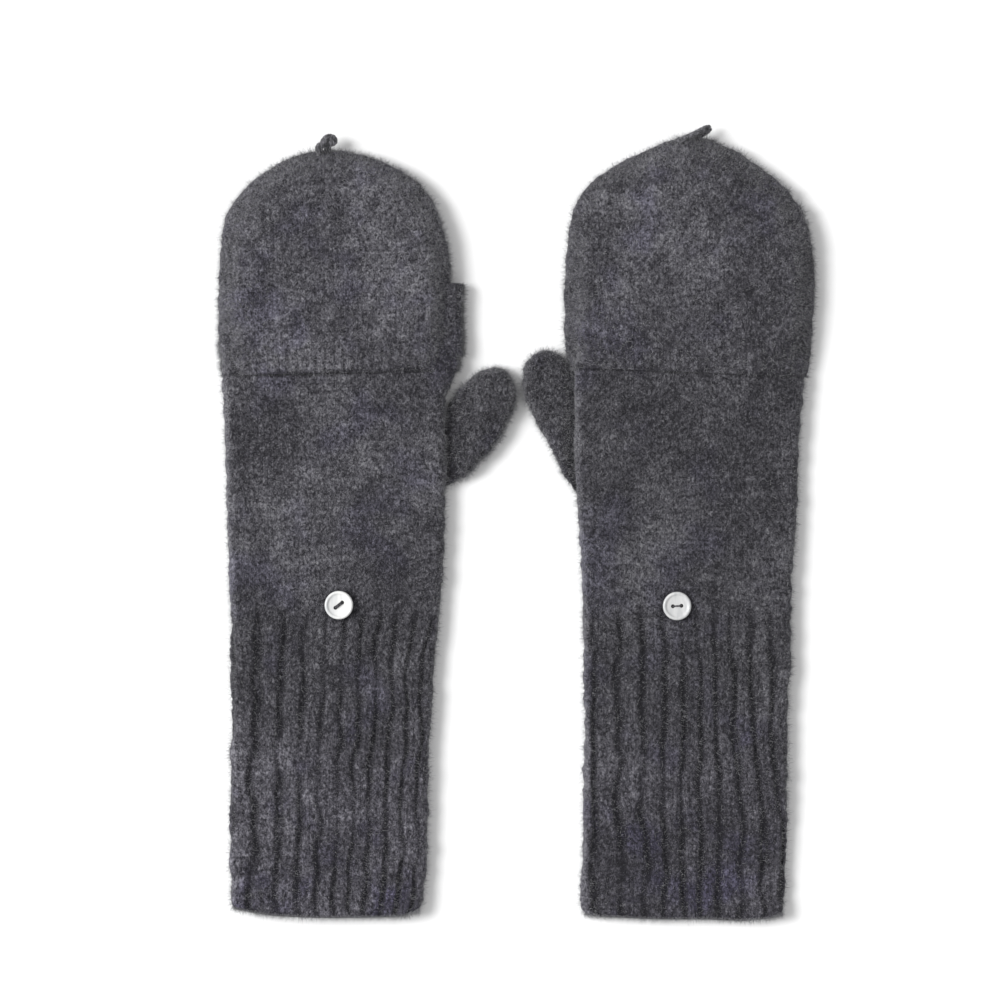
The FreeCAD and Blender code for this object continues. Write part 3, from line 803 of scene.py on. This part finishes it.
# Outlines of the thumbs from root to tip, in millimetres: outwards from the thumb's middle
# line, and along it from the place where the thumb bends.
THUMB_OUTER = {
    "left": [(-3, -33), (2.5, -30), (7.6, -24.5), (12.0, -16), (14.4, -6), (15.0, 6), (14.2, 16),
             (11.9, 23.8), (7.6, 29.3), (2, 31.4)],
    "right": [(6, -34), (12, -27), (13.2, -19), (12.6, -9), (12, 0), (12.2, 9), (12, 16), (10.9, 24),
              (8.5, 31), (3, 37)],
}
THUMB_INNER = {
    "left": [(-10, -30), (-12, -15), (-12.4, 0), (-12.3, 10), (-10.8, 19), (-6.9, 27.6), (-1.5, 31.3)],
    "right": [(-10, -34), (-12.5, -15), (-13.5, 0), (-14, 15), (-14, 27), (-12, 34), (-6.5, 38),
              (-2, 38.6)],
}
THUMB_RISE = {"left": 16 * MM, "right": 8 * MM}  # width over which the thumb rises beside the hand
# How much shade is painted on the thumb where it comes out from under the hand, and how far that reaches.
THUMB_TUCK = {"left": (0.62, 9 * MM), "right": (0.25, 2.2 * MM)}


def thumb(mitten, material):
    """The closed thumb, which comes out from under the edge of the hand."""
    joint = JOINTS[mitten.name("thumb_fold")]
    bend = Vector(joint["pos_m"])
    way = np.array([joint["axis"][1], -joint["axis"][0]])
    out = np.array([way[1], -way[0]]) * mitten.toward
    centre = np.array([bend.x, bend.y])
    sides = []
    for outline in (THUMB_OUTER[mitten.side], THUMB_INNER[mitten.side]):
        places = np.array(outline) * MM
        sides.append(centre + places[:, :1] * out + places[:, 1:] * way)
    tip = (sides[0][-1] + sides[1][-1]) / 2
    line = soften(even(np.vstack([sides[0], sides[1][::-1]])), 2.6 * MM)
    cut = int(np.argmin(np.linalg.norm(line - tip, axis=1)))
    count = int(len(line) * STEP / 2 / GRID * 1.3)
    outer, inner = even(line[:cut + 1], count=count)[::-1], even(line[cut:], count=count)
    left, right = (inner, outer) if mitten.toward > 0 else (outer, inner)
    surface = felt(mitten.seed + 40)
    puff = field(mitten.seed + 41, 24 * MM)

    def past_edge(x, y):
        edge_left, edge_right = mitten.edges(y)
        return (x - edge_right) if mitten.toward > 0 else (edge_left - x)

    def low(x, y, gap):
        return np.full(x.shape, 0.3 * MM)

    def high(x, y, gap):
        free = smooth((past_edge(x, y) + 1.5 * MM) / THUMB_RISE[mitten.side])
        return 3.6 * MM + free * (3.4 * MM + 0.2 * MM * puff(x, y))

    def relief(x, y, gap, across, layer):
        dark, width = THUMB_TUCK[mitten.side]
        tucked = bump(np.maximum(past_edge(x, y), 0), width)
        stand = surface(x, y) + 0.04 * MM * np.cos(2 * math.pi * across / WALE)
        # painted shadow of the hand's edge on the thumb's back, and the thumb a little darker all over
        return stand, np.where(layer > 0, dark * tucked + 0.04, 0.04)

    name = mitten.name("thumb_knit")
    piece, skin = pocket(name, left, right, line, low, high, 3.6 * MM, relief, mouth=False)
    piece.data.materials.append(material)
    bend_thumb(mitten, piece)
    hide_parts(mitten.name("thumb_stall"))
    return skin


# Outlines of the caps from one end of the mouth round to the other, in millimetres from the
# middle of the knuckle line.
CAP_OUTLINE = {
    "left": [(-50.5, 0), (-51.9, 8), (-52.7, 30), (-51.7, 54), (-49.9, 68), (-45.3, 77), (-36.3, 86.3),
             (-22.2, 94.9), (-12, 98.1), (-2.7, 99), (7.1, 97.7), (20.5, 94.3), (36.5, 85.2),
             (42.9, 76.4), (46.4, 67.6), (49, 58.7), (50.8, 49.4), (51.5, 30), (51.6, 10), (49.4, 0)],
    "right": [(-54.1, 0), (-55.6, 9), (-55.9, 30), (-55.2, 49), (-53.4, 66.4), (-50.2, 75.7),
              (-44.8, 83.6), (-34.6, 90.8), (-21.7, 97.5), (-10.2, 102.3), (-2.7, 104.6), (4.3, 104.6),
              (12.4, 101.9), (23.4, 96.2), (34.7, 88.5), (44.7, 79.4), (50.6, 70.5), (53.9, 60.1),
              (55.7, 44.9), (55.3, 29.8), (54, 10.6), (52.4, 0)],
}
# Height of the cap's back above the underside of its CAD slab: place past the knuckles and height.
CAP_RISE = [(-2, 0.9), (0, 1.0), (6, 1.9), (14, 2.9), (26, 3.5), (45, 3.6), (58, 3.2), (72, 2.4)]
CAP_TIP_RISE = 1.8
CAP_DROOP = (5.6 * MM, 11 * MM)  # how far the edges of the cap hang, and how far in that reaches
CAP_LIMP = (44 * MM, 20 * MM, 4.6 * MM)  # past the stalls the cap sinks: where, over what, how far
HEM = 12 * MM  # width of the hem band
TICK = 4.3 * MM  # spacing of the small tucks in the hem band


def cap(mitten, material):
    """The flip-top cap with its hem band, open at the knuckles."""
    nodes = [mitten.name("cap_hem"), mitten.name("cap_pocket")]
    outline = np.array(CAP_OUTLINE[mitten.side]) * MM + np.array([mitten.middle, mitten.knuckles])
    line = soften(even(outline), 2.2 * MM)
    crown = int(np.argmax(line[:, 1]))
    count = int(max(crown, len(line) - crown) * STEP / GRID)
    left, right = even(line[:crown + 1], count=count)[::-1], even(line[crown:], count=count)
    surface = felt(mitten.seed + 60)
    waves, folds = field(mitten.seed + 61, 60 * MM), field(mitten.seed + 62, 24 * MM)
    reach = line[crown, 1] - mitten.knuckles
    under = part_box(nodes[1])[0].z

    def droop(gap):
        return CAP_DROOP[0] * (1 - smooth(gap / CAP_DROOP[1]))

    def limp(y):
        return smooth((y - mitten.knuckles - CAP_LIMP[0]) / CAP_LIMP[1])

    def low(x, y, gap):
        return under - 0.3 * MM - CAP_LIMP[2] * limp(y) - (1 - limp(y)) * droop(gap)

    def high(x, y, gap):
        past = (y - mitten.knuckles) / MM
        places, rises = zip(*CAP_RISE, (reach / MM + 1, CAP_TIP_RISE))
        level = np.interp(past, places, rises) * MM
        rumple = smooth(past / 20) * (0.35 * MM * waves(x, y) + 0.12 * MM * folds(x, y))
        return under + level + rumple - (1 - 0.4 * limp(y)) * droop(gap)

    def relief(x, y, gap, across, layer):
        past = y - knuckle_line(mitten, x)
        band = smooth(past / (1.2 * MM)) * smooth((HEM - past) / (1.8 * MM))
        beside = np.abs(((across + 0.6 * MM * np.sin(y / (3 * MM))) / TICK) % 1 - 0.5)
        tick = band * bump((0.5 - beside) * TICK, 0.7 * MM)
        crease = bump(past - HEM, 1.1 * MM)
        stand = surface(x, y) + 0.05 * MM * np.cos(2 * math.pi * across / WALE) + 0.2 * MM * band
        # painted shade: in the crease at the mouth, in the small tucks of the hem band and in the crease
        # along its top
        mouth_dark = 1.5 * crease_dark(mitten, x) * bump(past, 0.9 * MM)
        dark = np.where(layer > 0, 0.3 * tick + 0.08 * crease + mouth_dark, 0.1 * tick)
        return stand - 0.45 * MM * tick - 0.2 * MM * crease, dark

    # the mouth slopes across the knuckles, and the rows above it straighten out
    for edge in (left, right):
        fade = 1 - smooth((edge[:, 1] - mitten.knuckles) / (30 * MM))
        edge[:, 1] += (knuckle_line(mitten, edge[:, 0]) - mitten.knuckles) * fade
    piece, skin = pocket(mitten.name("cap"), left, right, line, low, high, 4.6 * MM, relief,
                         fabric=1.3 * MM, lip_fade=0.8 * MM)
    piece.data.materials.append(material)
    bend_knuckles(mitten, piece)
    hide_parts(*nodes)
    return skin


# ---------------------------------------------------------------- small pieces

def tube(path, radius, sides=8):
    """Rings of a round cord along a path of points, with a rounded step at each end."""
    path = np.asarray(path, float)
    along = np.gradient(path, axis=0)
    along /= np.linalg.norm(along, axis=1, keepdims=True)
    side = np.cross(along, [0, 0, 1.0])
    thin = np.linalg.norm(side, axis=1) < 0.2
    side[thin] = np.cross(along[thin], [1.0, 0, 0])
    side /= np.linalg.norm(side, axis=1, keepdims=True)
    over = np.cross(side, along)
    turns = np.linspace(0, 2 * math.pi, sides, endpoint=False)
    ways = side[:, None] * np.cos(turns)[:, None] + over[:, None] * np.sin(turns)[:, None]
    first = np.repeat(path[:1] - along[:1] * radius * 0.7, sides, 0)
    last = np.repeat(path[-1:] + along[-1:] * radius * 0.7, sides, 0)
    return np.concatenate([[first], path[:, None] + radius * ways, [last]])


def join_rings(name, groups, material):
    """One mesh from several closed tubes."""
    places, faces = [], []
    for rings in groups:
        start = sum(len(p) for p in places)
        count, size = rings.shape[:2]
        body = rings[1:-1].reshape(-1, 3)
        places.append(np.vstack([body, rings[0, :1], rings[-1, :1]]))
        for row in range(count - 3):
            for k in range(size):
                a, b = row * size + k, row * size + (k + 1) % size
                faces.append((start + a, start + b, start + b + size, start + a + size))
        first, last = start + len(body), start + len(body) + 1
        end_row = start + (count - 3) * size
        for k in range(size):
            after = (k + 1) % size
            faces.append((first, start + after, start + k))
            faces.append((last, end_row + k, end_row + after))
    mesh = bpy.data.meshes.new(name)
    mesh.from_pydata(np.vstack(places).tolist(), [], faces)
    finish_mesh(mesh)
    mesh.materials.append(material)
    return add(name, mesh)


def plies(path, radius, strands=3, turn=2.6 * MM):
    """Strands twisted about a path."""
    path = even(path, 0.25 * MM)
    along = np.gradient(path, axis=0)
    along /= np.linalg.norm(along, axis=1, keepdims=True)
    side = np.cross(along, [0, 0, 1.0])
    side /= np.maximum(np.linalg.norm(side, axis=1, keepdims=True), 1e-6)
    over = np.cross(side, along)
    travel = np.r_[0, np.cumsum(np.linalg.norm(np.diff(path, axis=0), axis=1))]
    groups = []
    for strand in range(strands):
        angle = 2 * math.pi * (travel / turn + strand / strands)
        offset = 0.5 * radius * (side * np.cos(angle)[:, None] + over * np.sin(angle)[:, None])
        groups.append(tube(path + offset, 0.58 * radius))
    return groups


# Way of each button loop, in millimetres from the tack: across to the right, along towards the
# fingertips, and height.
LOOP_WAY = {
    "left": [(-2.6, -2.4, 0), (-3.5, -0.4, 0.3), (-3.4, 1.5, 0.5), (-1.4, 1.6, 0.8), (-1.1, 3.6, 0.9),
             (0.6, 5.3, 0.8), (2.9, 5.2, 0.5), (3.8, 3.6, 0.2), (2.7, 2.5, -0.1), (1.0, 3.3, -0.3),
             (1.5, 4.6, -0.6), (2.9, 4.2, -0.8), (1.9, 2.6, -0.8), (0.3, 1.8, -0.7), (0.8, -2.4, -0.6)],
    "right": [(-9.0, -2.8, 0.9), (-5.5, -0.5, 1.2), (-1.0, 1.6, 1.3), (3.3, 3.9, 1.0),
              (5.5, 4.8, 0.3), (5.8, 4.0, -0.4), (3.8, 2.4, -0.9), (0.5, 1.0, -1.1),
              (-3.0, -0.9, -1.0), (-6.5, -2.6, -0.8)],
}
LOOP_RADIUS = {"left": 1.55 * MM, "right": 1.35 * MM}
LOOP_SAG = np.array([0, 0, -5.9 * MM])  # the soft tip of the cap hangs below its pivot
LOOP_FIBRES = 1500
WRAPS = 4  # turns of yarn that tack each loop down


def loop(mitten, material, shades):
    """The cord loop at the tip of the cap, and the wraps that tack it down."""
    low_corner, high_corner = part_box(mitten.name("loop_tack"))
    tack = (np.array(low_corner) + np.array(high_corner)) / 2 + LOOP_SAG
    path = even(np.array(LOOP_WAY[mitten.side]) * MM, 0.25 * MM)
    weights = np.hanning(15) / np.hanning(15).sum()
    for axis in range(3):
        column = np.pad(path[:, axis], 7, mode="edge")
        path[:, axis] = np.convolve(column, weights, "valid")
    strands = plies(path + tack, LOOP_RADIUS[mitten.side])
    cord = join_rings(mitten.name("loop_cord"), strands, material)
    skins = [(rings[1:-1], ring_normals(rings[1:-1])) for rings in strands]
    nap = fuzz(mitten.name("loop_nap"), "nap", skins, LOOP_FIBRES, mitten.seed + 79, shades)
    bend_loop(mitten, nap)
    bend_loop(mitten, cord)
    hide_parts(mitten.name("button_loop"))

    turns = np.linspace(-0.3 * math.pi, 1.3 * math.pi, 16)
    ring = np.column_stack([0.25 * np.sin(turns * 3), 1.3 * np.cos(turns), 1.5 * np.sin(turns)]) * MM
    wraps = []
    for number in range(WRAPS):
        shift = np.array([(number - (WRAPS - 1) / 2) * 1.1 * MM, -0.2 * MM, 0])
        wraps.append(tube(tack + shift + ring, 0.36 * MM, 6))
    binding = join_rings(mitten.name("loop_binding"), wraps, material)
    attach(binding, mitten.name("cap"))
    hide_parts(mitten.name("loop_tack"))


LINK_PITCH = 3.4 * MM  # from one linking stitch to the next
LINK_REACH = 1.3 * MM  # half the length of a linking stitch


def linking(mitten, material):
    """Linking stitches in the crease between the cap and the back of the hand."""
    low_corner, high_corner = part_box(mitten.name("cap_seam"))
    span = np.linspace(-LINK_REACH, LINK_REACH, 9)
    height = mitten.top - 0.1 * MM + 0.25 * MM * np.cos(span / LINK_REACH * math.pi / 2)
    stitches = []
    for number in range(int((high_corner.x - low_corner.x) / LINK_PITCH)):
        across = low_corner.x + (number + 0.5) * LINK_PITCH + span
        along = knuckle_line(mitten, across) - 0.55 * MM + 0.14 * span
        stitches.append(tube(np.column_stack([across, along, height]), 0.26 * MM, 6))
    piece = join_rings(mitten.name("linking_stitches"), stitches, material)
    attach(piece, mitten.name("hand"))
    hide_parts(mitten.name("cap_seam"))


BUTTON_TURN = {"left": math.radians(38), "right": math.radians(3)}
# Half section of a button, as shares of its radius and height, from the middle of the underside
# round the rim to the middle of the dish.
BUTTON_SECTION = [(0.0, 0.0), (0.82, 0.0), (0.93, 0.08), (0.985, 0.25), (1.0, 0.5), (0.99, 0.72),
                  (0.965, 0.88), (0.92, 0.97), (0.875, 1.0), (0.83, 0.975), (0.79, 0.9), (0.76, 0.8),
                  (0.72, 0.73), (0.6, 0.7), (0.3, 0.69), (0.0, 0.69)]
SPOKES = 96  # points round a button
HOLE_OFFSET = 1.9 * MM
HOLE_RADIUS = 0.85 * MM
THREAD_TURNS = {"left": 4, "right": 2}
THREAD_RADIUS = 0.2 * MM


def button_disc(name, radius, thick):
    """A turned disc with a raised rim and a dished middle, at the origin."""
    disc = bmesh.new()
    rings = []
    for share, rise in BUTTON_SECTION[1:-1]:
        turns = [2 * math.pi * k / SPOKES for k in range(SPOKES)]
        reach, height = radius * share, thick * rise
        rings.append([disc.verts.new((reach * math.cos(a), reach * math.sin(a), height)) for a in turns])
    for inner, outer in zip(rings, rings[1:]):
        for k in range(SPOKES):
            disc.faces.new((inner[k], inner[(k + 1) % SPOKES], outer[(k + 1) % SPOKES], outer[k]))
    for ring, (_, rise) in ((rings[0], BUTTON_SECTION[0]), (rings[-1], BUTTON_SECTION[-1])):
        centre = disc.verts.new((0, 0, thick * rise))
        for k in range(SPOKES):
            disc.faces.new((centre, ring[(k + 1) % SPOKES], ring[k]))
    bmesh.ops.recalc_face_normals(disc, faces=disc.faces)
    mesh = bpy.data.meshes.new(name)
    disc.to_mesh(mesh)
    disc.free()
    return add(name, mesh)


def drill_holes(piece, depth):
    """Two thread holes with soft edges; the piece keeps the finished mesh."""
    drills = bmesh.new()
    for sign in (-1, 1):
        made = bmesh.ops.create_cone(drills, cap_ends=True, segments=32, radius1=HOLE_RADIUS,
                                     radius2=HOLE_RADIUS, depth=depth)
        bmesh.ops.translate(drills, verts=made["verts"], vec=(sign * HOLE_OFFSET, 0, 0))
    drill_mesh = bpy.data.meshes.new("drills")
    drills.to_mesh(drill_mesh)
    drills.free()
    drill = add("drills", drill_mesh)
    cut = piece.modifiers.new("holes", "BOOLEAN")
    cut.object = drill
    cut.operation = "DIFFERENCE"
    cut.solver = "EXACT"
    bevel = piece.modifiers.new("edges", "BEVEL")
    bevel.width = 0.14 * MM
    bevel.segments = 3
    bevel.limit_method = "ANGLE"
    bevel.angle_limit = math.radians(50)
    bpy.context.view_layer.update()
    finished = piece.evaluated_get(bpy.context.evaluated_depsgraph_get())
    mesh = bpy.data.meshes.new_from_object(finished)
    piece.modifiers.clear()
    piece.data = mesh
    mesh.name = piece.name
    bpy.data.objects.remove(drill)
    mesh.polygons.foreach_set("use_smooth", [True] * len(mesh.polygons))


def button(mitten, material, thread):
    """A turned two-hole shell button with a raised rim, and its sewing thread."""
    low_corner, high_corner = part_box(mitten.name("button"))
    thick = high_corner.z - low_corner.z
    piece = button_disc(mitten.name("shell_button"), (high_corner.x - low_corner.x) / 2, thick)
    drill_holes(piece, 4 * thick)
    piece.data.materials.clear()
    piece.data.materials.append(material)
    centre = np.array([mitten.button.x, mitten.button.y, low_corner.z])
    cos, sin = math.cos(BUTTON_TURN[mitten.side]), math.sin(BUTTON_TURN[mitten.side])
    spin = np.array([[cos, sin, 0], [-sin, cos, 0], [0, 0, 1]])
    places = np.empty(len(piece.data.vertices) * 3)
    piece.data.vertices.foreach_get("co", places)
    piece.data.vertices.foreach_set("co", (places.reshape(-1, 3) @ spin + centre).ravel())
    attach(piece, mitten.name("button"))
    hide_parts(mitten.name("button"))

    # Each strand runs along the dish from hole to hole, and down into both.
    way = np.linspace(-1.6, 1.6, 21)
    reach = HOLE_OFFSET * np.sign(way) * np.minimum(np.abs(way), 1)
    lift = BUTTON_SECTION[-1][1] * thick + 0.28 * MM - np.maximum(np.abs(way) - 1, 0) * 3.2 * MM
    turns = THREAD_TURNS[mitten.side]
    strands = []
    for number in range(turns):
        beside = np.full(21, (number - (turns - 1) / 2) * 0.34 * MM)
        path = even(np.column_stack([reach, beside, lift]), 0.2 * MM)
        strands.append(tube(path @ spin + centre, THREAD_RADIUS))
    sewing = join_rings(mitten.name("sewing_thread"), strands, thread)
    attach(sewing, mitten.name("button"))
    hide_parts(mitten.name("button_thread"))


# ---------------------------------------------------------------- the pair

cord_wool = yarn("charcoal_yarn", (0.062, 0.061, 0.067))
dark_yarn = yarn("linking_yarn", (0.03, 0.03, 0.034))
thread = yarn("sewing_thread", (0.035, 0.034, 0.038))
shades = [fibre("fibre_dark", (0.04, 0.04, 0.045)), fibre("fibre_grey", (0.12, 0.12, 0.132)),
          fibre("fibre_light", (0.30, 0.30, 0.32))]
pearls = {"left": shell("shell_white", (0.80, 0.80, 0.79), (0.55, 0.56, 0.57), 0.1),
          "right": shell("shell_grey", (0.60, 0.60, 0.60), (0.40, 0.41, 0.42), 0.3)}
# How deep the wool's colours are made on the cap, the hand and the thumb, the thumbs' deeper tone being
# partly painted shade; and coarseness of the felt.
TONES = {"left": (0.78, 0.62, 0.47), "right": (0.67, 0.475, 0.42)}
GRITS = (1.3, 1.55, 1.9)
# Fibres of each kind on the hand, the cap and the thumb.
FIBRE_COUNTS = {"nap": (36000, 20000, 4500), "halo": (34000, 16000, 6000), "strays": (5000, 2800, 1100)}

for number, side in enumerate(SIDES):
    mitten = Mitten(side, 100 * (number + 1))
    cap_wool, hand_wool, thumb_wool = [
        wool(f"{side}_{piece}_wool", tone_scale, grit)
        for piece, tone_scale, grit in zip(("cap", "hand", "thumb"), TONES[side], GRITS)]
    hand_skins = [hand(mitten, hand_wool)] + stalls(mitten, hand_wool)
    thumb_skins = [thumb(mitten, thumb_wool)]
    cap_skins = [cap(mitten, cap_wool)]
    loop(mitten, cord_wool, shades)
    linking(mitten, dark_yarn)
    button(mitten, pearls[side], thread)
    parts = (("hand", hand_skins, bend_wrist), ("cap", cap_skins, bend_knuckles),
             ("thumb", thumb_skins, bend_thumb))
    for kind, counts in FIBRE_COUNTS.items():
        for (label, skins, follow), count in zip(parts, counts):
            # the count gives each of the nine pieces a seed of its own
            seed = mitten.seed + 80 + count % 97
            follow(mitten, fuzz(f"{side}_{label}_{kind}", kind, skins, count, seed, shades))


# ---------------------------------------------------------------- floor, light and camera

def floor():
    """A plain white floor."""
    sheet = bmesh.new()
    bmesh.ops.create_grid(sheet, x_segments=1, y_segments=1, size=4)
    mesh = bpy.data.meshes.new("floor")
    sheet.to_mesh(mesh)
    sheet.free()
    piece = add("floor", mesh)
    mesh.materials.append(Shader("floor_white").finish({
        "Base Color": (0.93, 0.93, 0.93, 1), "Roughness": 0.9, "Specular IOR Level": 0.1}))


def light():
    """A soft key from the left and an even white surround."""
    key = bpy.data.lights.new("key", "SUN")
    key.energy = 3.5
    key.angle = math.radians(30)
    lamp = add("key", key)
    lamp.rotation_euler = (math.radians(-8), math.radians(-50), 0)
    world = bpy.data.worlds.new("surround")
    world.use_nodes = True
    world.node_tree.nodes["Background"].inputs["Color"].default_value = (1, 1, 1, 1)
    world.node_tree.nodes["Background"].inputs["Strength"].default_value = 0.6
    bpy.context.scene.world = world


def camera():
    """Straight above the pair, a long lens that takes in a square of the floor."""
    lens = bpy.data.cameras.new("above")
    lens.sensor_width = 36
    distance, view = 1.6, 0.445
    lens.lens = lens.sensor_width * distance / view
    seat = add("above", lens)
    seat.location = (-7.1 * MM, 8.7 * MM, distance + 8 * MM)
    bpy.context.scene.camera = seat


floor()
light()
camera()
bpy.context.scene.view_settings.view_transform = "Standard"
